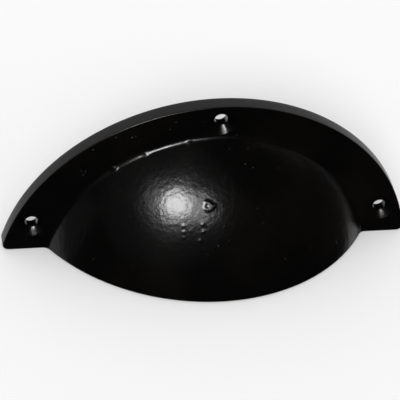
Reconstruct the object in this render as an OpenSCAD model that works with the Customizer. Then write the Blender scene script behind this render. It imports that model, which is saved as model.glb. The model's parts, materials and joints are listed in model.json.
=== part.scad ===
// Cup pull for a drawer: a hollow cast cup on a flat flange with three screw holes.
// The cup is part of a ball, turned about a level axis below the bottom edge together
// with the plate that it stands on. The plate's outline is an arc about an axis of its
// own. Everything is cut off flat along the bottom edge, so that fingers reach up into
// the cup.
// The origin lies midway between the two lower screw holes, on the back face.
// +X runs along the pull, -Y points away from the drawer and +Z is up.

/* [Overall] */
// Width across the two ears, before their corners are rounded
width = 100; // [92:0.5:108]
// Height from the bottom edge to the top of the flange
height = 41.5; // [39:0.5:44]
// Distance from the back face to the rim, before its edge is rounded
projection = 25.5; // [22:0.5:28]

/* [Flange] */
// Thickness of the flange
flange_t = 3.5; // [2.8:0.1:4.2]
// Width of the flange above the cup, from the foot to the outer edge
flange_w = 8.6; // [8.2:0.1:10]
// Rounding of the flange's front edge
flange_edge_r = 0.3; // [0.2:0.1:1]
// Rounding of the two lower corners, seen from the front
ear_corner_r = 1.8; // [1:0.1:3]

/* [Cup] */
// Width across the cup's foot at the bottom edge
cup_width = 78.5; // [74:0.5:80]
// Thickness of the cup's wall
cup_wall = 3; // [2:0.1:3.6]
// Hollow blend between the cup and the flange
foot_fillet_r = 2; // [1:0.1:3]
// Rounding of both edges of the rim
rim_edge_r = 0.6; // [0.4:0.1:0.9]

/* [Screw holes] */
// Diameter of the hole that a screw passes through
hole_d = 3.2; // [3:0.1:4]
// Diameter of the countersink at the flange's front face
countersink_d = 6.8; // [6:0.1:7.4]
// Depth of the countersink
countersink_depth = 1.3; // [1.2:0.1:1.8]
// Distance from a hole's centre to the flange's outer edge
hole_inset = 4.7; // [4.2:0.1:5]
// Height of the two lower holes above the bottom edge
lower_hole_rise = 7.6; // [6.5:0.1:12]

/* [Hidden] */
$fn = 96;
// How far a cutting shape reaches past the face that it cuts
over = 1;

bottom_z = -lower_hole_rise;

// The flange's outer edge is one arc through both ears and the top. Its centre, the
// flange's axis, lies below the bottom edge
flange_r = (width * width / 4 + height * height) / (2 * height);
flange_drop = flange_r - height;
flange_z = bottom_z - flange_drop;

// The cup's foot is an arc on the flange's face, through both ends of its width and
// the top, with an axis of its own
cup_height = height - flange_w;
foot_r = (cup_width * cup_width / 4 + cup_height * cup_height) / (2 * cup_height);
cup_drop = foot_r - cup_height;
cup_z = bottom_z - cup_drop;

// The ball passes through the foot and reaches the full projection at the middle of
// the rim, so its centre lies behind the back face
cup_back = (cup_width * cup_width / 4 + flange_t * flange_t - projection * projection)
    / (2 * (projection - flange_t));
cup_r = norm([foot_r, cup_back + flange_t]);
hollow_r = cup_r - cup_wall;

// The foot's fillet touches the flange's face and the ball
fillet_rise = flange_t + foot_fillet_r;
fillet_centre = [sqrt(pow(cup_r + foot_fillet_r, 2) - pow(cup_back + fillet_rise, 2)), fillet_rise];
cup_centre = [0, -cup_back];
cup_touch = cup_centre + (fillet_centre - cup_centre) * cup_r / (cup_r + foot_fillet_r);

// All three holes lie on one circle about the flange's axis
hole_circle_r = flange_r - hole_inset;
lower_hole_x = sqrt(hole_circle_r * hole_circle_r - flange_z * flange_z);
top_hole_z = flange_z + hole_circle_r;

// The plate is turned wide enough to reach every point of the outline
plate_r = max(norm([width / 2, cup_drop]), height + cup_drop) + over;

// Half the angle over which the rim's outer edge is rounded. It ends one degree short
// of the foot's fillet on either side
rim_half_angle = atan2(sqrt(pow(cup_touch.x, 2) - cup_drop * cup_drop), cup_touch.y + cup_back) - 1;

// Fillet between the flange's face and the ball: radius across, distance forward
module foot_fillet() {
    difference() {
        polygon([
            [fillet_centre.x, flange_t],
            fillet_centre,
            cup_touch,
            [foot_r - foot_fillet_r, flange_t / 2]
        ]);
        translate(fillet_centre) circle(foot_fillet_r);
    }
}

// Half section about the cup's axis: ball, plate and fillet, less the hollow
module wall_section() {
    difference() {
        intersection() {
            union() {
                translate(cup_centre) circle(cup_r);
                square([plate_r, flange_t]);
                foot_fillet();
            }
            translate([cup_drop / 2, 0]) square([plate_r, projection + cup_wall]);
        }
        translate(cup_centre) circle(hollow_r);
    }
}

// Half section about the flange's axis: all that lies outside the rounded outline
module outside_section() {
    difference() {
        translate([flange_r - flange_edge_r, -over]) square([plate_r, flange_t + 2 * over]);
        translate([0, -2 * over]) square([flange_r, flange_t - flange_edge_r + 2 * over]);
        translate([flange_r - flange_edge_r, flange_t - flange_edge_r]) circle(flange_edge_r);
    }
}

// Half turn of a section about a level axis at the given height, back face on y = 0
module turned(axis_height) {
    translate([0, 0, axis_height])
        rotate([90, 0, 0])
            rotate_extrude(angle = 180) children();
}

// Everything below the flat bottom edge
module bottom_waste() {
    reach = 2 * flange_r;
    translate([-reach, -reach, bottom_z - reach]) cube([2 * reach, 2 * reach, reach]);
}

// What the rounding takes off the right ear's lower corner
module ear_corner_waste() {
    centre = [sqrt(pow(flange_r - ear_corner_r, 2) - pow(flange_drop + ear_corner_r, 2)), ear_corner_r];
    outward = (centre + [0, flange_drop]) / (flange_r - ear_corner_r);
    translate([0, over, bottom_z])
        rotate([90, 0, 0])
            linear_extrude(flange_t + 2 * over)
                difference() {
                    polygon([
                        centre,
                        [centre.x, -over],
                        [centre.x + 2 * ear_corner_r, -over],
                        centre + outward * (ear_corner_r + over)
                    ]);
                    translate(centre) circle(ear_corner_r);
                }
}

// What the rounding takes off one edge of the rim: side 1 outside, -1 in the hollow
module rim_edge_waste(ball_r, side, half_angle) {
    centre_r = ball_r - side * rim_edge_r;
    centre = [sqrt(centre_r * centre_r - pow(cup_drop + rim_edge_r, 2)), rim_edge_r];
    outward = side * (centre + [0, cup_drop]) / centre_r;
    translate([0, cup_back, bottom_z])
        rotate_extrude(angle = 2 * half_angle, start = 270 - half_angle)
            difference() {
                polygon([
                    centre,
                    [centre.x, -over],
                    [centre.x + side * (rim_edge_r + over), -over],
                    centre + outward * (rim_edge_r + over)
                ]);
                translate(centre) circle(rim_edge_r);
            }
}

// Countersunk hole along Y, through the flange, with a clear way in for the screw
module screw_hole() {
    rotate([90, 0, 0]) {
        translate([0, 0, -over]) cylinder(d = hole_d, h = flange_t + 2 * over);
        translate([0, 0, flange_t - countersink_depth])
            cylinder(d1 = hole_d, d2 = countersink_d, h = countersink_depth);
        translate([0, 0, flange_t]) cylinder(d = countersink_d, h = projection);
    }
}

module screw_holes() {
    for (x = [-lower_hole_x, lower_hole_x]) translate([x, 0, 0]) screw_hole();
    translate([0, 0, top_hole_z]) screw_hole();
}

module cup_pull() {
    color([0.03, 0.029, 0.028])
        difference() {
            turned(cup_z) wall_section();
            turned(flange_z) outside_section();
            bottom_waste();
            ear_corner_waste();
            mirror([1, 0, 0]) ear_corner_waste();
            rim_edge_waste(cup_r, 1, rim_half_angle);
            rim_edge_waste(hollow_r, -1, 90);
            screw_holes();
        }
}

cup_pull();
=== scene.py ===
"""Black enamelled cup pull for a drawer, cast in one piece, on a pale studio floor."""

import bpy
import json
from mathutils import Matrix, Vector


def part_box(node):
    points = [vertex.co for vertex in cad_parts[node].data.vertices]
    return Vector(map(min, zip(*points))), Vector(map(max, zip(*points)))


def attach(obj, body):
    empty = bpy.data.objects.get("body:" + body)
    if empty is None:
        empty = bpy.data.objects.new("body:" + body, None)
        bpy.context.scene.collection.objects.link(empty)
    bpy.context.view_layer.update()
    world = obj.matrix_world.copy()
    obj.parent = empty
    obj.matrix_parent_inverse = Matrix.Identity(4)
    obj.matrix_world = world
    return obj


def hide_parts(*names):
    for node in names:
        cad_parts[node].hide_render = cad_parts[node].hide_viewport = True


bl_info = {
    "name": "Cast Cup Pull",
    "version": (1, 0, 0),
    "blender": (4, 5, 0),
    "location": "View3D > Sidebar > Cup Pull",
    "description": "Builds a black enamelled cast cup pull and the studio stage that it stands on",
    "category": "Add Mesh",
}

import itertools
import json
import math
from types import SimpleNamespace

import bpy
import numpy as np
from bpy.props import FloatProperty, FloatVectorProperty, PointerProperty
from mathutils import Matrix, Vector

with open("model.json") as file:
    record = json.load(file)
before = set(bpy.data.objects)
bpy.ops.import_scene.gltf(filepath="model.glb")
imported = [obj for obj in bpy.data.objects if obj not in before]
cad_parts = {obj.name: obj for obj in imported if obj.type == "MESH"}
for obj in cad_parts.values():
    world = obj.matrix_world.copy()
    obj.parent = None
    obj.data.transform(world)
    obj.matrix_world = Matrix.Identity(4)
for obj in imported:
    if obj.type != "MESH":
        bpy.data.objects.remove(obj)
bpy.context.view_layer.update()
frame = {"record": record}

# Facts of the frame
PULL_LOW, PULL_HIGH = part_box("cup_pull")
MOUNTS = {mount["name"]: mount for mount in frame["record"]["mounts"]}
LOWER_SCREWS = MOUNTS["lower_screws"]["dims"]
MILLIMETRE = 0.001
LOWER_HOLE_X = LOWER_SCREWS["spacing_x_mm"] / 2 * MILLIMETRE
TOP_HOLE_Z = MOUNTS["top_screw"]["pos_m"][2]

# Divisions of the front skin, all even, because the back has half as many
COLUMNS = 360
BALL_ROWS = 140
FOOT_ROWS = 12
FLANGE_ROWS = 22
# Rows of the foot's fillet that the hole patches reach over
PATCH_FOOT_ROWS = 8
# Divisions of the rounded edges, the flange's edge band and the hole patches
EDGE_STEPS = 5
BAND_STEPS = 3
BACK_EDGE_STEPS = 3
PATCH_RINGS = 7
BACK_PATCH_RINGS = 4
# Narrow row beside a rounded edge, which keeps the flat next to it flat in shading
SUPPORT = 0.08 * MILLIMETRE
# Room left between a countersink and the sides of its patch
PATCH_MARGIN = 0.9 * MILLIMETRE
# How far the floor reaches from the origin, in metres
FLOOR_REACH = 3.0
# How far the card that the flange's edge mirrors stands behind the back face
CARD_Y = 1 * MILLIMETRE
# Half the angle that this card fills round the flange's axis, and the lines that divide it
CARD_HALF_ANGLE = 2.2
CARD_LINES = 121
# Angle from straight up at which its left side starts to come forward, and over which it does
CARD_TURN = 1.6
CARD_TURN_SPAN = 0.35
# Corners, in y and z, of the dim cards a metre to either side, which the cup's flanks mirror
LEFT_CARD = ((-0.22, -0.5), (0, -0.5), (0, 0.25), (-0.4, 0.25), (-0.35, -0.1))
RIGHT_CARD = ((0.1, -0.15), (-0.2, 0.63), (-0.39, 1.7), (0.2, 1.7), (0.35, -0.15))
# Points closer than this are one point
WELD = 1e-7

# Pimples and beads left on the front by the casting sand: x, z, radius, height, in millimetres
PIMPLES = (
    (-9.8, 10.3, 0.36, 0.07),
    (-9.8, 9.1, 0.38, 0.08),
    (-9.8, 8.0, 0.34, 0.07),
    (-8.2, 9.5, 0.38, 0.03),
    (-5.4, 10.9, 0.36, 0.09),
    (-5.3, 9.5, 0.38, 0.09),
    (-6.1, 7.6, 0.36, 0.1),
    (6.2, 13.9, 0.30, 0.09),
    (8.7, 12.6, 0.30, 0.06),
    (11.2, 8.1, 0.30, 0.10),
    (13.5, 18.9, 0.34, 0.09),
    (-17.5, -1.6, 0.30, 0.09),
    (-17.6, -4.7, 0.30, 0.09),
    (-24.6, 17.0, 0.70, 0.26),
    (-17.3, 21.2, 0.55, 0.10),
    (-7.5, 24.2, 0.55, 0.12),
)
# Grains of sand under the flange's enamel: x, z, radius, in millimetres
SAND_GRAINS = (
    (-20.8, 25.6, 0.55),
    (-20.0, 26.0, 0.48),
    (-12.1, 27.6, 0.48),
    (-24.6, 25.8, 0.48),
    (-29.7, 22.5, 0.42),
    (-31.6, 14.9, 0.40),
    (-31.1, 15.9, 0.38),
    (-10.9, 29.7, 0.42),
    (-20.0, 24.1, 0.38),
)
# Straight sides of the burst blister: distance from its middle, and the direction that each faces, across
# and up. This and the next two lines are shares of its radius
SCAR_SIDES = ((0.85, -1, 0), (0.62, 0.59, 0.81), (0.75, 0.63, -0.78))
SCAR_DISC, SCAR_SOFTNESS, SCAR_NOISE = 0.95, 0.1, 0.5
SCAR_PIT_LEFT, SCAR_PIT_RADIUS = 0.4, 0.24
# Depth of its pit, as a share of its height
SCAR_PIT_DEPTH = 1.2
# Clouds in the enamel to the metre, and the stretches of their noise over which colour and gloss change
CLOUD_SCALE = 45.0
TINT_STRETCH = (0.45, 0.75)
GLOSS_STRETCH = (0.3, 0.7)


class PullSizes(bpy.types.PropertyGroup):
    """Sizes of the casting."""

    width: FloatProperty(
        name="Width", description="Width across the two ears, before their corners are rounded",
        default=0.1, unit="LENGTH")
    height: FloatProperty(
        name="Height", description="Height from the bottom edge to the top of the flange",
        default=PULL_HIGH.z - PULL_LOW.z, unit="LENGTH")
    projection: FloatProperty(
        name="Projection", description="Distance from the back face to the rim, before its edge is rounded",
        default=0.0255, unit="LENGTH")
    flange_thickness: FloatProperty(
        name="Flange Thickness", description="Thickness of the flange", default=0.0035, unit="LENGTH")
    flange_width: FloatProperty(
        name="Flange Width", description="Width of the flange above the cup, from the foot to the outer edge",
        default=0.0086, unit="LENGTH")
    cup_width: FloatProperty(
        name="Cup Width", description="Width across the cup's foot at the bottom edge",
        default=0.0785, unit="LENGTH")
    cup_wall: FloatProperty(
        name="Cup Wall", description="Thickness of the cup's wall", default=0.003, unit="LENGTH")
    foot_fillet: FloatProperty(
        name="Foot Fillet", description="Radius of the hollow blend between the cup and the flange",
        default=0.002, unit="LENGTH")
    ear_corner: FloatProperty(
        name="Ear Corner", description="Radius of the two lower corners, seen from the front",
        default=0.0018, unit="LENGTH")
    flange_edge: FloatProperty(
        name="Flange Edge", description="Rounding of the flange's front edge", default=0.0003, unit="LENGTH")
    rim_edge: FloatProperty(
        name="Rim Edge", description="Rounding of both edges of the rim", default=0.0006, unit="LENGTH")
    back_edge: FloatProperty(
        name="Back Edge", description="Rounding of the edges round the back face",
        default=0.00012, unit="LENGTH")
    hole_radius: FloatProperty(
        name="Hole Radius", description="Radius of the three screw holes",
        default=LOWER_SCREWS["hole_r_mm"] * MILLIMETRE, unit="LENGTH")
    countersink_radius: FloatProperty(
        name="Countersink Radius", description="Radius of each countersink at the flange's front face",
        default=0.0034, unit="LENGTH")
    countersink_depth: FloatProperty(
        name="Countersink Depth", description="Depth of each countersink", default=0.0013, unit="LENGTH")
    hole_edge: FloatProperty(
        name="Hole Edge", description="Rounding that the enamel leaves on the edges of a hole",
        default=0.0001, unit="LENGTH")
    wave_length: FloatProperty(
        name="Wave Length", description="Distance between the low swells of the cast surface",
        default=0.007, unit="LENGTH")
    wave_height: FloatProperty(
        name="Wave Height", description="Height of the low swells of the cast surface",
        default=0.00002, unit="LENGTH")
    scar_place: FloatVectorProperty(
        name="Scar Place", description="Where the burst blister lies on the cup, across and up",
        size=2, default=(-0.0038, 0.0145), unit="LENGTH")
    scar_radius: FloatProperty(
        name="Scar Radius", description="Radius of the burst blister", default=0.0015, unit="LENGTH")
    scar_height: FloatProperty(
        name="Scar Height", description="Height of the burst blister", default=0.00009, unit="LENGTH")


class EnamelFinish(bpy.types.PropertyGroup):
    """Look of the black enamel."""

    black: FloatVectorProperty(
        name="Black", description="Colour of the enamel", subtype="COLOR", size=3,
        default=(0.0011, 0.00095, 0.00085))
    brown: FloatVectorProperty(
        name="Brown", description="Colour of the enamel where it lies thin over the iron",
        subtype="COLOR", size=3, default=(0.003, 0.0021, 0.0017))
    roughness: FloatProperty(
        name="Roughness", description="Roughness of the enamel's gloss", default=0.2, min=0, max=1)
    roughness_spread: FloatProperty(
        name="Roughness Spread", description="How far the roughness varies over the casting", default=0.05)
    peel_size: FloatProperty(
        name="Peel Size", description="Distance between the dimples of the orange peel",
        default=0.0012, unit="LENGTH")
    peel_depth: FloatProperty(
        name="Peel Depth", description="Depth of the orange peel's dimples", default=0.000042, unit="LENGTH")
    grain_size: FloatProperty(
        name="Grain Size", description="Distance between the grains of the sand-cast iron below",
        default=0.0005, unit="LENGTH")
    grain_depth: FloatProperty(
        name="Grain Depth", description="Depth of the grain that shows through",
        default=0.00001, unit="LENGTH")
    grit_spacing: FloatProperty(
        name="Grit Spacing", description="Distance between the specks of grit in the enamel",
        default=0.0032, unit="LENGTH")
    grit_radius: FloatProperty(
        name="Grit Radius", description="Radius of a speck of grit", default=0.0003, unit="LENGTH")
    grit_height: FloatProperty(
        name="Grit Height", description="Height of a speck of grit", default=0.00026, unit="LENGTH")


class StageSettings(bpy.types.PropertyGroup):
    """Floor, lights and camera."""

    floor_colour: FloatVectorProperty(
        name="Floor Colour", description="Colour of the pale floor", subtype="COLOR", size=3,
        default=(0.95, 0.95, 0.95))
    room_colour: FloatVectorProperty(
        name="Room Colour", description="Colour of the dim room round the stage", subtype="COLOR", size=3,
        default=(0.012, 0.012, 0.012))
    key_strength: FloatProperty(
        name="Key Strength", description="Strength of the lamp beside the camera", default=1.2)
    key_spread: FloatProperty(
        name="Key Spread", description="Angle that the lamp beside the camera fills", subtype="ANGLE",
        default=math.radians(16))
    key_azimuth: FloatProperty(
        name="Key Azimuth", description="Direction of the key lamp, turned from straight in front",
        subtype="ANGLE", default=math.radians(-20.8))
    key_elevation: FloatProperty(
        name="Key Elevation", description="Height of the key lamp above the floor", subtype="ANGLE",
        default=math.radians(35.1))
    fill_strength: FloatProperty(
        name="Fill Strength", description="Strength of the right lamp, beside the key", default=0.28)
    fill_spread: FloatProperty(
        name="Fill Spread", description="Angle that the right lamp fills",
        subtype="ANGLE", default=math.radians(16))
    fill_azimuth: FloatProperty(
        name="Fill Azimuth", description="Direction of the right lamp, turned from straight in front",
        subtype="ANGLE", default=math.radians(-4))
    fill_elevation: FloatProperty(
        name="Fill Elevation", description="Height of the right lamp above the floor",
        subtype="ANGLE", default=math.radians(34.5))
    side_strength: FloatProperty(
        name="Side Strength", description="Strength of the left lamp, beside the key", default=0.09)
    side_spread: FloatProperty(
        name="Side Spread", description="Angle that the left lamp fills", subtype="ANGLE",
        default=math.radians(18))
    side_azimuth: FloatProperty(
        name="Side Azimuth", description="Direction of the left lamp, turned from straight in front",
        subtype="ANGLE", default=math.radians(-34))
    side_elevation: FloatProperty(
        name="Side Elevation", description="Height of the left lamp above the floor",
        subtype="ANGLE", default=math.radians(34.5))
    halo_strength: FloatProperty(
        name="Halo Strength", description="Strength of the weak, very broad lamp in front", default=0.06)
    halo_spread: FloatProperty(
        name="Halo Spread", description="Angle that the very broad lamp fills", subtype="ANGLE",
        default=math.radians(80))
    halo_azimuth: FloatProperty(
        name="Halo Azimuth", description="Direction of the very broad lamp, turned from straight in front",
        subtype="ANGLE", default=math.radians(-30))
    halo_elevation: FloatProperty(
        name="Halo Elevation", description="Height of the very broad lamp above the floor", subtype="ANGLE",
        default=math.radians(34))
    card_strength: FloatProperty(
        name="Card Strength", description="Brightness of the card that the flange's edge mirrors",
        default=0.5)
    card_reach: FloatProperty(
        name="Card Reach", description="How far the card reaches from the flange's axis",
        default=0.6, unit="LENGTH")
    card_right: FloatProperty(
        name="Card Right", description="Where the card ends on the right", default=0.082, unit="LENGTH")
    card_forward: FloatProperty(
        name="Card Forward", description="How far the card's lower left end stands forward",
        default=0.065, unit="LENGTH")
    left_strength: FloatProperty(
        name="Left Strength", description="Brightness of the card at the left side", default=0.075)
    right_strength: FloatProperty(
        name="Right Strength", description="Brightness of the card at the right side", default=0.13)
    top_strength: FloatProperty(
        name="Top Strength", description="Strength of the broad light overhead", default=2.2)
    top_spread: FloatProperty(
        name="Top Spread", description="Angle that the broad light fills", subtype="ANGLE",
        default=math.radians(150))
    camera_azimuth: FloatProperty(
        name="Camera Azimuth", description="Camera's direction, turned from straight in front",
        subtype="ANGLE", default=math.radians(-15.6))
    camera_elevation: FloatProperty(
        name="Camera Elevation", description="Camera's height above the floor", subtype="ANGLE",
        default=math.radians(41.04))
    camera_roll: FloatProperty(
        name="Camera Roll", description="Turn of the camera about its line of sight", subtype="ANGLE",
        default=math.radians(7.7))
    camera_distance: FloatProperty(
        name="Camera Distance", description="Distance from the camera to its aim",
        default=0.511, unit="LENGTH")
    camera_aim: FloatVectorProperty(
        name="Camera Aim", description="Point that the camera looks at", size=3, unit="LENGTH",
        default=(-0.00182, 0.0001, 0.00227))
    camera_lens: FloatProperty(
        name="Camera Lens", description="Focal length in millimetres on a 36 mm frame", default=190.54)


def pull_form(sizes):
    """Radii and centres of the casting.

    The flange's edge is one arc through both ears and the top, about an axis below the bottom edge. The
    cup's foot is another arc, on the flange's face, about an axis of its own. The cup is part of a ball
    about a point behind the flange on that second axis: it passes through the foot's arc and reaches the
    projection in the plane of the bottom edge.
    """
    form = SimpleNamespace(bottom=PULL_LOW.z)
    form.flange_r = (sizes.width ** 2 / 4 + sizes.height ** 2) / (2 * sizes.height)
    form.flange_drop = form.flange_r - sizes.height
    form.flange_z = form.bottom - form.flange_drop
    cup_height = sizes.height - sizes.flange_width
    foot_r = (sizes.cup_width ** 2 / 4 + cup_height ** 2) / (2 * cup_height)
    form.cup_drop = foot_r - cup_height
    form.cup_z = form.bottom - form.cup_drop
    thickness, projection = sizes.flange_thickness, sizes.projection
    span = sizes.cup_width ** 2 / 4 + thickness ** 2 - projection ** 2
    form.cup_back = span / (2 * (projection - thickness))
    form.cup_r = math.hypot(foot_r, form.cup_back + thickness)
    form.hollow_r = form.cup_r - sizes.cup_wall
    fillet = sizes.foot_fillet
    form.fillet_forward = thickness + fillet
    form.fillet_r = math.sqrt((form.cup_r + fillet) ** 2 - (form.cup_back + form.fillet_forward) ** 2)
    return form


def ball_rows(ball_r, rise, belt, rows, across):
    """Skin of a ball between a level arc and an upright arc, about the ball's centre.

    A plane turns from level to upright about the line through the two points where the arcs meet. Each row
    is the arc in which the plane cuts the ball, divided evenly from left to right. The steps of the turn
    divide the ball's middle meridian evenly. rise is the level arc's height over the centre, and belt is the
    upright arc's distance in front of it.
    """
    foot_x = math.sqrt(ball_r ** 2 - rise ** 2 - belt ** 2)
    meridian = np.linspace(math.asin(rise / ball_r), math.acos(belt / ball_r), rows + 1)[:, None]
    turn = np.arctan2(ball_r * np.sin(meridian) - rise, ball_r * np.cos(meridian) - belt)
    offset = belt * np.cos(turn) + rise * np.sin(turn)
    radius = np.hypot(foot_x, offset)
    angle = np.arctan2(foot_x, offset) * across
    reach = radius * np.cos(angle) - offset
    return np.stack(
        [radius * np.sin(angle), -belt - reach * np.cos(turn), rise + reach * np.sin(turn)], axis=-1)


def foot_section(centre_r, centre_forward, curve_r, ball_r, lean, edges, rows):
    """Section of the arc that leaves the ball and comes to lie flat on the flange.

    Returns columns of radius, distance forward, outward lean of the surface and rounding of the bottom edge.
    The radius is the centre's less curve_r times the sine of the turn, and the distance forward the
    centre's less curve_r times its cosine, while the turn goes to zero.
    """
    first_turn = math.asin(centre_r / (ball_r + curve_r))
    turn = np.linspace(first_turn, 0, rows + 1)
    edge = np.interp(turn, [0, first_turn], [edges[1], edges[0]])
    radius, forward = centre_r - curve_r * np.sin(turn), centre_forward - curve_r * np.cos(turn)
    return np.stack([radius, forward, lean * np.sin(turn), edge], axis=1)


def turned_rows(section, facing, across, form):
    """Skin turned from a section about the cup's axis, with its normals.

    Each row is an arc of the section's radius, divided evenly from left to right. It ends where the
    rounding of the bottom edge begins, which a ball of the rounding's radius touches.
    """
    radius, forward, lean, edge = (column[:, None] for column in section.T)
    rise = (form.cup_drop + edge) / (1 - edge * lean / radius)
    angle = np.arccos(rise / radius) * across
    flat = np.zeros_like(angle)
    points = np.stack([radius * np.sin(angle), flat - forward, radius * np.cos(angle) + form.cup_z], axis=-1)
    normal_y = flat + facing * np.sqrt(1 - lean ** 2)
    normals = np.stack([lean * np.sin(angle), normal_y, lean * np.cos(angle)], axis=-1)
    return points, normals


def flat_rows(inner, edge, rows, across, form):
    """Rows of one face of the flange, on straight lines from the foot's arc out to the outline's.

    Both arcs are divided evenly from left to right and end at the same height, the outline's about the
    flange's axis. The first and the last row are narrow.
    """
    outer_r = form.flange_r - edge
    angle = math.acos((form.flange_drop + edge) / outer_r) * across[0]
    outer = np.stack([outer_r * np.sin(angle), inner[:, 1], outer_r * np.cos(angle) + form.flange_z], axis=-1)
    share = np.linspace(0, 1, rows + 1)
    narrow = SUPPORT / np.linalg.norm(outer - inner, axis=1).mean()
    share[1], share[-2] = narrow, 1 - narrow
    return inner + (outer - inner) * share[1:, None, None]


def rounded_ears(points, edge, corner_r, form):
    """Bends the sharp lower corners of the flange into arcs.

    Nearness to the bottom and to the outer edge goes from 0, at the corner's radius, to 1, at the edge. The
    pair (a, b) becomes (a * sqrt(1 - b * b / 2), b * sqrt(1 - a * a / 2)), which makes a disc of a square.
    """
    x, y, z = np.moveaxis(points, -1, 0)
    height = z - form.flange_z
    radius = np.hypot(x, height)
    bend = corner_r - edge
    low = np.clip(1 - (height - form.flange_drop - edge) / bend, 0, 1)
    outer = np.clip(1 - (form.flange_r - edge - radius) / bend, 0, 1)
    height = height + bend * low * (1 - np.sqrt(1 - outer ** 2 / 2))
    radius = radius - bend * outer * (1 - np.sqrt(1 - low ** 2 / 2))
    x = np.sign(x) * np.sqrt(np.maximum(radius ** 2 - height ** 2, 0))
    return np.stack([x, y, height + form.flange_z], axis=-1)


def skin(ball_r, facing, section, flat_edge, rows, corner_r, form):
    """One side of the casting as a grid: the ball from the rim to its belt, the foot, then the flange's face.

    Returns the points, the normals, the rounding of the bottom edge at each point and the first flat row.
    """
    ball_count, flat_count, columns = rows
    across = np.linspace(-1, 1, columns + 1)[None, :]
    rim_edge = section[0, 3]
    rise = (form.cup_drop + rim_edge) / (1 + facing * rim_edge / ball_r)
    ball = ball_rows(ball_r, rise, section[0, 1] + form.cup_back, ball_count, across)
    foot, foot_normals = turned_rows(section, facing, across, form)
    flat = rounded_ears(flat_rows(foot[-1], flat_edge, flat_count, across, form), flat_edge, corner_r, form)
    flat_normals = np.broadcast_to([0.0, facing, 0.0], flat.shape)
    points = np.concatenate([ball + [0, form.cup_back, form.cup_z], foot[1:], flat])
    edges = np.concatenate([np.full(ball_count, rim_edge), section[:, 3], np.full(flat_count, flat_edge)])
    return SimpleNamespace(
        points=points, first_flat=ball_count + len(section) - 1,
        normals=np.concatenate([-facing * ball / ball_r, foot_normals[1:], flat_normals]),
        edges=np.broadcast_to(edges[:, None], points.shape[:2]))


def front_skin(sizes, form):
    """Front of the casting: the cup's ball, the hollow fillet at its foot and the flange's face."""
    section = foot_section(
        form.fillet_r, form.fillet_forward, sizes.foot_fillet, form.cup_r, 1,
        (sizes.rim_edge, sizes.flange_edge), FOOT_ROWS)
    rows = (BALL_ROWS, FLANGE_ROWS, COLUMNS)
    return skin(form.cup_r, -1, section, sizes.flange_edge, rows, sizes.ear_corner, form)


def back_skin(sizes, form):
    """Back of the casting: the hollow's ball, its rounded mouth and the flat back face."""
    mouth = sizes.back_edge
    centre_r = math.sqrt((form.hollow_r + mouth) ** 2 - (form.cup_back + mouth) ** 2)
    mouth_rows = (FOOT_ROWS - PATCH_FOOT_ROWS) // 2
    section = foot_section(
        centre_r, mouth, mouth, form.hollow_r, -1, (sizes.rim_edge, mouth), mouth_rows)
    rows = (BALL_ROWS // 2, (FLANGE_ROWS + PATCH_FOOT_ROWS) // 2, COLUMNS // 2)
    return skin(form.hollow_r, 1, section, mouth, rows, sizes.ear_corner, form)


def outline(grid):
    """Rim of a grid as one closed loop: first row, last column, last row and first column."""
    return np.concatenate([grid[0, :-1], grid[:-1, -1], grid[-1, :0:-1], grid[:0:-1, 0]])


def edge_directions(side):
    """Directions that the casting's edge faces: outward round the flange, and down along the rim."""
    loop = outline(side.points)
    along = np.roll(loop, -1, axis=0) - np.roll(loop, 1, axis=0)
    facing = np.stack([along[:, 2], 0 * along[:, 1], -along[:, 0]], axis=1)
    length = np.linalg.norm(facing, axis=1, keepdims=True)
    facing = facing / np.where(length > 0, length, 1)
    row = np.broadcast_to(np.arange(len(side.points))[:, None], side.points.shape[:2])
    facing[outline(row) < side.first_flat] = (0, 0, -1)
    return facing


def turned_between(start, end, steps):
    """Unit vectors that turn evenly from start to end along a great circle."""
    angle = np.arccos(np.clip((start * end).sum(axis=1), -1, 1))[None, :, None]
    share = np.linspace(0, 1, steps + 1)[:, None, None]
    return (np.sin((1 - share) * angle) * start + np.sin(share * angle) * end) / np.sin(angle)


def edge_rings(side, steps):
    """Loops round a rounded edge: a ball inside the edge carries a normal from the face to the edge band."""
    edge = outline(side.edges)[:, None]
    normal = outline(side.normals)
    centre = outline(side.points) - edge * normal
    return centre + edge * turned_between(normal, edge_directions(side), steps)


def doubled(loop):
    """Closed loop with a point added halfway along each of its sides."""
    halfway = (loop + np.roll(loop, -1, axis=0)) / 2
    return np.stack([loop, halfway], axis=1).reshape(-1, 3)


def grid_faces(rows, columns, gaps=()):
    """Quads of a grid of points, without those in the gaps, which are blocks of rows and columns."""
    index = np.arange(rows * columns).reshape(rows, columns)
    quads = np.stack([index[:-1, :-1], index[:-1, 1:], index[1:, 1:], index[1:, :-1]], axis=-1)
    keep = np.ones(quads.shape[:2], bool)
    for top, end, left, right in gaps:
        keep[top:end, left:right] = False
    return quads[keep]


def ring_faces(rings, count):
    """Quads between closed loops of equal count, one loop after another."""
    index = np.arange(rings * count).reshape(rings, count)
    ahead = np.roll(index, -1, axis=1)
    return np.stack([index[:-1], ahead[:-1], ahead[1:], index[1:]], axis=-1).reshape(-1, 4)


def halving_faces(count):
    """Triangles between a loop of twice count points and the loop of count points that follows it."""
    fine = 2 * np.arange(count)
    coarse = 2 * count + np.arange(count)
    middle, fine_end, coarse_end = fine + 1, np.roll(fine, -1), np.roll(coarse, -1)
    sides = [(fine, middle, coarse), (middle, coarse_end, coarse), (middle, fine_end, coarse_end)]
    return np.concatenate([np.stack([a, b, c, c], axis=1) for a, b, c in sides])


def sleeve(fine, coarse, inward):
    """Patches along closed loops: fine loops, the step down to half as many points, then coarse loops."""
    step = np.concatenate([fine[-1], coarse[0]])
    patches = [
        (fine.reshape(-1, 3), ring_faces(len(fine), fine.shape[1])),
        (step, halving_faces(coarse.shape[1])),
        (coarse.reshape(-1, 3), ring_faces(len(coarse), coarse.shape[1])),
    ]
    return [(points, faces if inward else faces[:, ::-1]) for points, faces in patches]


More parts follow.
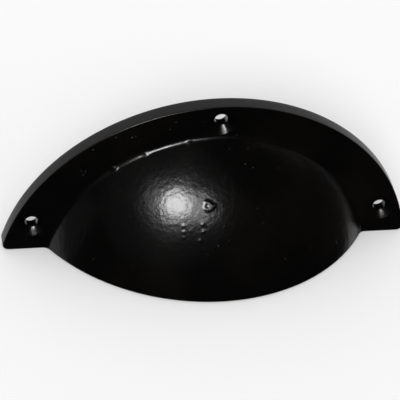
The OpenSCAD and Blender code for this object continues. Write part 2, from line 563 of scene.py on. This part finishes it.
def edge_patches(front, back):
    """Patches of the casting's whole edge, from the front's outline round to the back's."""
    front_rings = edge_rings(front, EDGE_STEPS)
    back_rings = edge_rings(back, BACK_EDGE_STEPS)[::-1]
    start, end = front_rings[-1], doubled(back_rings[0])
    share = np.linspace(0, 1, BAND_STEPS + 1)[1:-1, None, None]
    band = start + (end - start) * share
    return sleeve(np.concatenate([front_rings, band]), back_rings, inward=False)


def rounded_corner(before, corner, after, radius, steps):
    """Arc that rounds one corner of a section.

    Its centre lies on the corner's bisector, and its ends are as far from the corner as the radius times
    the tangent of half the turn.
    """
    before, corner, after = (np.array(point) for point in (before, corner, after))
    arrive = (corner - before) / np.linalg.norm(corner - before)
    leave = (after - corner) / np.linalg.norm(after - corner)
    turn = math.acos(arrive @ leave)
    reach = radius * math.tan(turn / 2)
    side = leave - arrive * math.cos(turn)
    side = side / np.linalg.norm(side)
    angle = np.linspace(0, turn, steps + 1)[:, None]
    start = corner - arrive * reach
    return start + radius * (np.sin(angle) * arrive + (1 - np.cos(angle)) * side)


def flange_forward(points, sizes, form):
    """Distance from the back face to the flange's front face or to the fillet that rises from it."""
    inside = form.fillet_r - np.hypot(points[..., 0], points[..., 2] - form.cup_z)
    inside = np.clip(inside, 0, sizes.foot_fillet)
    return form.fillet_forward - np.sqrt(sizes.foot_fillet ** 2 - inside ** 2)


def hole_patches(place, front, back, block, sizes, form):
    """Patches of one countersunk hole: flat rings, rounded lip, countersink, bore and back rings.

    Rings on the flange go from the sides of the block to the hole's circle and keep to the face and its
    fillet. The wall is a section of radius and depth carried round the hole's axis, and its lip follows the
    fillet.
    """
    top, end, left, right = block
    outer = outline(front.points[top:end + 1, left:right + 1])
    half = [value // 2 for value in block]
    back_outer = outline(back.points[half[0]:half[1] + 1, half[2]:half[3] + 1])
    angle = np.arctan2(outer[:, 2] - place[1], outer[:, 0] - place[0])

    face_y = -sizes.flange_thickness
    sink, bore, lip = sizes.countersink_radius, sizes.hole_radius, sizes.hole_edge
    corners = [
        (2 * sink, face_y), (sink, face_y), (bore, face_y + sizes.countersink_depth),
        (bore, 0), (2 * bore, 0)]
    lips = [rounded_corner(*corners[i:i + 3], lip, EDGE_STEPS - 1) for i in range(3)]

    def ring(section, angle):
        radius, depth = section[:, 0, None], section[:, 1, None]
        x = place[0] + radius * np.cos(angle)
        z = place[1] + radius * np.sin(angle)
        return np.stack([x, np.broadcast_to(depth, x.shape), z], axis=-1)

    rim = ring(lips[0], angle)
    share = np.linspace(0, 1, PATCH_RINGS + 1)[:-1, None, None]
    flat = outer + (rim[0] - outer) * share
    flat[..., 1] = -flange_forward(flat, sizes, form)
    rim[..., 1] -= flange_forward(rim, sizes, form) - sizes.flange_thickness
    fine = np.concatenate([flat, rim, ring(lips[1], angle)])
    back_wall = ring(lips[2], angle[::2])
    share = np.linspace(0, 1, BACK_PATCH_RINGS + 1)[1:, None, None]
    coarse = np.concatenate([back_wall, back_wall[-1] + (back_outer - back_wall[-1]) * share])
    return sleeve(fine, coarse, inward=True)


def hole_block(place, front, sizes):
    """Rows and columns of the front's grid that a hole's patch takes the place of, as even numbers."""
    middle_row = front.points[front.first_flat + FLANGE_ROWS // 2]
    gap = np.hypot(middle_row[:, 0] - place[0], middle_row[:, 2] - place[1])
    column = 2 * int(round(gap.argmin() / 2))
    pitch = np.linalg.norm(middle_row[column + 1] - middle_row[column])
    half = 2 * math.ceil((sizes.countersink_radius + PATCH_MARGIN) / pitch / 2)
    return front.first_flat - PATCH_FOOT_ROWS, front.first_flat + FLANGE_ROWS, column - half, column + half


def welded(patches):
    """One set of points and faces from patches that share their borders, with no face of no area."""
    counts = [len(points) for points, faces in patches]
    starts = np.concatenate([[0], np.cumsum(counts)[:-1]])
    points = np.concatenate([points for points, faces in patches])
    faces = np.concatenate([patch[1] + start for patch, start in zip(patches, starts)])
    keys = np.round(points / WELD).astype(np.int64)
    keys, first, place = np.unique(keys, axis=0, return_index=True, return_inverse=True)
    faces = place.ravel()[faces]
    repeats = faces == np.roll(faces, -1, axis=1)
    quads = faces[repeats.sum(axis=1) == 0]
    pinched = repeats.sum(axis=1) == 1
    corners = np.argsort(repeats[pinched], axis=1, kind="stable")[:, :3]
    triangles = np.take_along_axis(faces[pinched], np.sort(corners, axis=1), axis=1)
    return points[first], quads.tolist() + triangles.tolist()


def lattice_noise(points, cell, seed):
    """Smooth noise in space, from -1 to 1.

    Each corner of a cubic lattice has a height hashed from its place, and the eight round a point are
    blended along each axis by the S-curve 3 t^2 - 2 t^3.
    """
    place = points / cell
    low = np.floor(place).astype(np.int64)
    share = place - low
    share = share * share * (3 - 2 * share)
    total = np.zeros(len(points))
    for corner in itertools.product((0, 1), repeat=3):
        key = ((low + corner) * (73856093, 19349663, 83492791)).sum(axis=1) + seed * 2654435761
        key = (key ^ (key >> 15)) * 2246822519 & 0xFFFFFFFF
        key = (key ^ (key >> 13)) * 3266489917 & 0xFFFFFFFF
        weight = np.where(np.array(corner) == 1, share, 1 - share).prod(axis=1)
        total += weight * (key / 0x7FFFFFFF - 1)
    return total


def front_place(x, z, sizes, form):
    """Point of the casting's front at a place across and up: the cup, or the flange with its fillet."""
    cup = math.sqrt(max(form.cup_r ** 2 - x ** 2 - (z - form.cup_z) ** 2, 0)) - form.cup_back
    return np.array([x, -max(cup, flange_forward(np.array([x, 0, z]), sizes, form)), z])


def burst_blister(points, sizes, form):
    """How far the burst blister stands out from the cup at each point.

    It is a low table inside three straight sides and a disc, blended by a soft minimum and roughened by
    noise. Its edge rises by the S-curve 3 t^2 - 2 t^3, and a bell curve near its left side is its pit.
    """
    place = front_place(*sizes.scar_place, sizes, form)
    offset = points - place
    up = np.array([0, place[2] - form.cup_z, form.cup_back - place[1]])
    across, rise = offset[:, 0], offset @ (up / np.linalg.norm(up))
    size = sizes.scar_radius
    sides = [share * size - right * across - high * rise for share, right, high in SCAR_SIDES]
    sides.append(SCAR_DISC * size - np.linalg.norm(offset, axis=1))
    sides = np.clip(np.stack(sides) / (SCAR_SOFTNESS * size), -50, 50)
    inside = lattice_noise(points, SCAR_NOISE * size, 3) - np.log(np.exp(-sides).sum(axis=0))
    step = np.clip(inside / 2.4 + 0.6, 0, 1)
    table = step * step * (3 - 2 * step)
    pit_gap = np.linalg.norm(offset + [SCAR_PIT_LEFT * size, 0, 0], axis=1)
    pit = np.exp(-(pit_gap / (SCAR_PIT_RADIUS * size)) ** 2)
    return sizes.scar_height * (table - SCAR_PIT_DEPTH * pit)


def cast_relief(points, sizes, form):
    """How far the cast surface stands out from its true form at each point.

    Low swells are two octaves of lattice noise, faded out towards the back face and the bottom edge. A
    pimple is a bell curve of the distance from its place.
    """
    fade = np.clip(-points[:, 1] / sizes.flange_thickness, 0, 1)
    fade = fade * np.clip((points[:, 2] - form.bottom) / sizes.cup_wall, 0, 1)
    swell = lattice_noise(points, sizes.wave_length, 1)
    swell = swell + 0.5 * lattice_noise(points, sizes.wave_length / 2, 2)
    relief = sizes.wave_height * swell * fade
    for x, z, radius, height in np.array(PIMPLES) * MILLIMETRE:
        gap = np.linalg.norm(points - front_place(x, z, sizes, form), axis=1)
        relief += height * np.exp(-(gap / radius) ** 2)
    return relief + burst_blister(points, sizes, form)


def cast_mesh(sizes):
    """Mesh of the whole casting: front and back skins, the edge between them and the three holes."""
    form = pull_form(sizes)
    front, back = front_skin(sizes, form), back_skin(sizes, form)
    places = [(-LOWER_HOLE_X, 0), (0, TOP_HOLE_Z), (LOWER_HOLE_X, 0)]
    blocks = [hole_block(place, front, sizes) for place in places]
    back_blocks = [[value // 2 for value in block] for block in blocks]
    patches = [
        (front.points.reshape(-1, 3), grid_faces(*front.points.shape[:2], blocks)),
        (back.points.reshape(-1, 3), grid_faces(*back.points.shape[:2], back_blocks)[:, ::-1]),
    ]
    patches += edge_patches(front, back)
    for place, block in zip(places, blocks):
        patches += hole_patches(place, front, back, block, sizes, form)
    points, faces = welded(patches)

    mesh = bpy.data.meshes.new("casting")
    mesh.from_pydata(points, [], faces)
    mesh.update()
    normals = np.empty(len(points) * 3, np.float32)
    mesh.vertex_normals.foreach_get("vector", normals)
    points = points + normals.reshape(-1, 3) * cast_relief(points, sizes, form)[:, None]
    mesh.vertices.foreach_set("co", points.astype(np.float32).ravel())
    mesh.shade_smooth()
    mesh.update()
    return mesh


def node(tree, kind, place, **values):
    """New shader node; each value sets a property or, where it has none of that name, an input."""
    made = tree.nodes.new(kind)
    made.location = place
    for name, value in values.items():
        if hasattr(made, name):
            setattr(made, name, value)
        else:
            made.inputs[name.replace("_", " ")].default_value = value
    return made


def dome(tree, gap, place, radius, height):
    """Socket of a dome over the distance gap, which falls from its height to zero at its radius.

    The fall is the S-curve 3 t^2 - 2 t^3.
    """
    made = node(tree, "ShaderNodeMapRange", place, interpolation_type="SMOOTHSTEP")
    made.inputs["From Max"].default_value = radius
    made.inputs["To Min"].default_value = height
    made.inputs["To Max"].default_value = 0
    tree.links.new(gap, made.inputs["Value"])
    return made.outputs["Result"]


def grit_relief(tree, place, finish, flange_thickness):
    """Socket of the height of the grit: domes on scattered points and on the flange's grains of sand."""
    link = tree.links.new
    scatter = node(tree, "ShaderNodeTexVoronoi", (-1300, -650), Scale=1 / finish.grit_spacing)
    link(place, scatter.inputs["Vector"])
    radius = finish.grit_radius / finish.grit_spacing
    height = dome(tree, scatter.outputs["Distance"], (-1100, -650), radius, 1)
    for index, (x, z, radius) in enumerate(np.array(SAND_GRAINS) * MILLIMETRE):
        row = -900 - 250 * index
        gap = node(tree, "ShaderNodeVectorMath", (-1300, row), operation="DISTANCE")
        gap.inputs[1].default_value = (x, -flange_thickness, z)
        link(place, gap.inputs[0])
        grain = dome(tree, gap.outputs["Value"], (-1100, row), radius, radius / finish.grit_radius)
        higher = node(tree, "ShaderNodeMath", (-900, row), operation="MAXIMUM")
        link(height, higher.inputs[0])
        link(grain, higher.inputs[1])
        height = higher.outputs["Value"]
    return height


def black_enamel(finish, flange_thickness):
    """Semi-gloss black enamel over sand-cast iron.

    Slow noise shifts the black towards brown and varies the gloss. Two finer noises are the enamel's orange
    peel and the iron's grain below it, and grit stands out between them. All three are bump.
    """
    material = bpy.data.materials.new("black_enamel")
    material.use_nodes = True
    tree = material.node_tree
    link = tree.links.new
    enamel = tree.nodes["Principled BSDF"]
    place = node(tree, "ShaderNodeTexCoord", (-1300, 0)).outputs["Object"]

    cloud = node(tree, "ShaderNodeTexNoise", (-1050, 250), Scale=CLOUD_SCALE, Detail=4.0, Roughness=0.6)
    link(place, cloud.inputs["Vector"])
    tint = node(tree, "ShaderNodeValToRGB", (-800, 300))
    for stop, position, colour in zip(tint.color_ramp.elements, TINT_STRETCH, (finish.black, finish.brown)):
        stop.position = position
        stop.color = (*colour, 1)
    link(cloud.outputs["Fac"], tint.inputs["Fac"])
    link(tint.outputs["Color"], enamel.inputs["Base Color"])

    gloss = node(tree, "ShaderNodeMapRange", (-800, 50))
    gloss.inputs["From Min"].default_value = GLOSS_STRETCH[0]
    gloss.inputs["From Max"].default_value = GLOSS_STRETCH[1]
    gloss.inputs["To Min"].default_value = finish.roughness - finish.roughness_spread
    gloss.inputs["To Max"].default_value = finish.roughness + finish.roughness_spread
    link(cloud.outputs["Fac"], gloss.inputs["Value"])
    link(gloss.outputs["Result"], enamel.inputs["Roughness"])

    grain = node(
        tree, "ShaderNodeTexNoise", (-1050, -400), Scale=1 / finish.grain_size, Detail=2.0, Roughness=0.5)
    link(place, grain.inputs["Vector"])
    grit_bump = node(tree, "ShaderNodeBump", (-850, -600), Distance=finish.grit_height)
    link(grit_relief(tree, place, finish, flange_thickness), grit_bump.inputs["Height"])
    grain_bump = node(tree, "ShaderNodeBump", (-600, -400), Distance=finish.grain_depth)
    link(grain.outputs["Fac"], grain_bump.inputs["Height"])
    link(grit_bump.outputs["Normal"], grain_bump.inputs["Normal"])
    peel = node(
        tree, "ShaderNodeTexNoise", (-1050, -150), Scale=1 / finish.peel_size, Detail=2.0, Roughness=0.45)
    link(place, peel.inputs["Vector"])
    peel_bump = node(tree, "ShaderNodeBump", (-350, -200), Distance=finish.peel_depth)
    link(peel.outputs["Fac"], peel_bump.inputs["Height"])
    link(grain_bump.outputs["Normal"], peel_bump.inputs["Normal"])
    link(peel_bump.outputs["Normal"], enamel.inputs["Normal"])
    return material


def floor_paint(colour):
    """Plain matt paint of the floor."""
    material = bpy.data.materials.new("floor_paint")
    material.use_nodes = True
    surface = material.node_tree.nodes["Principled BSDF"]
    surface.inputs["Base Color"].default_value = (*colour, 1)
    surface.inputs["Roughness"].default_value = 0.9
    surface.inputs["Specular IOR Level"].default_value = 0
    return material


def dim_room(stage):
    """Room that lights the pull dimly and is as pale as the floor where the camera looks past it."""
    world = bpy.data.worlds.new("room")
    world.use_nodes = True
    tree = world.node_tree
    room = tree.nodes["Background"]
    room.inputs["Color"].default_value = (*stage.room_colour, 1)
    backdrop = node(tree, "ShaderNodeBackground", (0, -150), Color=(*stage.floor_colour, 1))
    ray = node(tree, "ShaderNodeLightPath", (0, 500))
    seen = node(tree, "ShaderNodeMixShader", (200, 0))
    tree.links.new(ray.outputs["Is Camera Ray"], seen.inputs["Fac"])
    tree.links.new(room.outputs["Background"], seen.inputs[1])
    tree.links.new(backdrop.outputs["Background"], seen.inputs[2])
    tree.links.new(seen.outputs["Shader"], tree.nodes["World Output"].inputs["Surface"])
    return world


def linked(name, data):
    """New object at the origin, in the scene."""
    made = bpy.data.objects.new(name, data)
    bpy.context.scene.collection.objects.link(made)
    return made


def glow_material(name, strength):
    """White light of one strength all over."""
    material = bpy.data.materials.new(name)
    material.use_nodes = True
    tree = material.node_tree
    tree.nodes.clear()
    glow = node(tree, "ShaderNodeEmission", (0, 0), Strength=strength)
    output = node(tree, "ShaderNodeOutputMaterial", (200, 0))
    tree.links.new(glow.outputs["Emission"], output.inputs["Surface"])
    return material


def staged(name, points, faces, material):
    """New piece of the stage."""
    mesh = bpy.data.meshes.new(name)
    mesh.from_pydata(points, [], faces)
    mesh.materials.append(material)
    made = linked(name, mesh)
    return made


def card_grid(form, reach, right, forward):
    """Points and faces of a card just behind the back face, outside the flange's outline.

    Lines run straight out from the flange's axis, each from the outline's arc to the card's reach, or to
    the upright line where the card ends on the right. Low on the left they also come forward.
    """
    angle = np.linspace(-CARD_HALF_ANGLE, CARD_HALF_ANGLE, CARD_LINES)
    outer = np.minimum(reach, right / np.maximum(np.sin(angle), right / reach))
    radius = np.stack([np.full_like(angle, form.flange_r), outer])
    behind = np.full_like(radius, CARD_Y)
    behind[1] -= forward * np.clip((-angle - CARD_TURN) / CARD_TURN_SPAN, 0, 1)
    points = np.stack([radius * np.sin(angle), behind, radius * np.cos(angle) + form.flange_z], axis=-1)
    return points.reshape(-1, 3), grid_faces(*radius.shape).tolist()


def only_in_gloss(card):
    """Leaves a stage sheet to be seen in the enamel's gloss and nowhere else."""
    card.visible_camera = False
    card.visible_diffuse = False
    card.visible_transmission = False
    card.visible_shadow = False


def lay_floor(colour):
    """Pale floor in two sheets that meet behind the back face, on a line that bends back on the right.

    The sheet in front stays out of the enamel's gloss, because the front mirrors cards in its place.
    """
    paint = floor_paint(colour)
    reach, level = FLOOR_REACH, PULL_LOW.z
    seam = [(-reach, CARD_Y), (PULL_HIGH.x, CARD_Y), (reach, reach / 3)]
    front = [*seam[::-1], (-reach, -reach), (reach, -reach)]
    back = [*seam, (reach, reach), (-reach, reach)]
    for name, corners, in_gloss in (("front_floor", front, False), ("back_floor", back, True)):
        points = [(x, y, level) for x, y in corners]
        staged(name, points, [range(len(points))], paint).visible_glossy = in_gloss


def hang_cards(stage, form):
    """Glowing cards that only the enamel's gloss sees: one behind the back face and one on either side."""
    points, faces = card_grid(form, stage.card_reach, stage.card_right, stage.card_forward)
    only_in_gloss(staged("card", points, faces, glow_material("card_glow", stage.card_strength)))
    for name, strength, x, corners in (
            ("left_card", stage.left_strength, -1, LEFT_CARD),
            ("right_card", stage.right_strength, 1, RIGHT_CARD)):
        points = [(x, y, z) for y, z in corners]
        only_in_gloss(staged(name, points, [range(len(points))], glow_material(name, strength)))


def direction(azimuth, elevation):
    """Unit vector from the object towards a lamp or camera: azimuth 0 is straight in front."""
    level = math.cos(elevation)
    return Vector((math.sin(azimuth) * level, -math.cos(azimuth) * level, math.sin(elevation)))


def soft_lamp(name, strength, spread, towards):
    """Lamp that fills the same angle of the sky everywhere, so that the floor is lit evenly."""
    lamp = bpy.data.lights.new(name, "SUN")
    lamp.energy = strength
    lamp.angle = spread
    made = linked(name, lamp)
    made.rotation_euler = towards.to_track_quat("Z", "Y").to_euler()
    return made


def aimed_camera(stage):
    """Camera at its distance from its aim, turned about its line of sight by the roll."""
    back = direction(stage.camera_azimuth, stage.camera_elevation)
    level = Vector((0, 0, 1)).cross(back).normalized()
    turn = Matrix.Rotation(stage.camera_roll, 3, back)
    right = turn @ level
    up = back.cross(right)
    camera = bpy.data.cameras.new("camera")
    camera.lens = stage.camera_lens
    camera.sensor_width = 36
    made = linked("camera", camera)
    place = Vector(stage.camera_aim) + back * stage.camera_distance
    made.matrix_world = Matrix.Translation(place) @ Matrix((right, up, back)).transposed().to_4x4()
    return made


class CUPPULL_OT_cast(bpy.types.Operator):
    """Casts the pull in one piece and coats it with black enamel"""

    bl_idname = "cup_pull.cast"
    bl_label = "Cast the Pull"

    def execute(self, context):
        casting = linked("casting", cast_mesh(context.scene.pull_sizes))
        enamel = black_enamel(context.scene.pull_finish, context.scene.pull_sizes.flange_thickness)
        casting.data.materials.append(enamel)
        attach(casting, "root")
        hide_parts("cup_pull")
        return {"FINISHED"}


class CUPPULL_OT_stage(bpy.types.Operator):
    """Sets the pale floor, the soft lights and the camera"""

    bl_idname = "cup_pull.stage"
    bl_label = "Set the Stage"

    def execute(self, context):
        scene = context.scene
        stage = scene.pull_stage
        scene.view_settings.view_transform = "Standard"
        scene.world = dim_room(stage)
        lay_floor(stage.floor_colour)
        hang_cards(stage, pull_form(scene.pull_sizes))
        for name in ("key", "fill", "side", "halo"):
            values = (name + "_strength", name + "_spread", name + "_azimuth", name + "_elevation")
            strength, spread, *angles = (getattr(stage, value) for value in values)
            soft_lamp(name, strength, spread, direction(*angles))
        # The light overhead lies on the floor alone
        top = soft_lamp("top", stage.top_strength, stage.top_spread, Vector((0, 0, 1)))
        top.visible_glossy = False
        scene.camera = aimed_camera(stage)
        return {"FINISHED"}


class VIEW3D_PT_cup_pull(bpy.types.Panel):
    """Sidebar panel that lists the pull's operators"""

    bl_label = "Cup Pull"
    bl_space_type = "VIEW_3D"
    bl_region_type = "UI"
    bl_category = "Cup Pull"

    def draw(self, context):
        self.layout.operator(CUPPULL_OT_cast.bl_idname)
        self.layout.operator(CUPPULL_OT_stage.bl_idname)


CLASSES = (PullSizes, EnamelFinish, StageSettings, CUPPULL_OT_cast, CUPPULL_OT_stage, VIEW3D_PT_cup_pull)


def register():
    """Registers the classes and gives each scene its settings."""
    for kind in CLASSES:
        bpy.utils.register_class(kind)
    bpy.types.Scene.pull_sizes = PointerProperty(type=PullSizes)
    bpy.types.Scene.pull_finish = PointerProperty(type=EnamelFinish)
    bpy.types.Scene.pull_stage = PointerProperty(type=StageSettings)


def unregister():
    """Takes the settings and the classes away again."""
    del bpy.types.Scene.pull_stage
    del bpy.types.Scene.pull_finish
    del bpy.types.Scene.pull_sizes
    for kind in reversed(CLASSES):
        bpy.utils.unregister_class(kind)


def main():
    register()
    bpy.ops.cup_pull.stage()
    bpy.ops.cup_pull.cast()


if __name__ == "__main__":
    main()
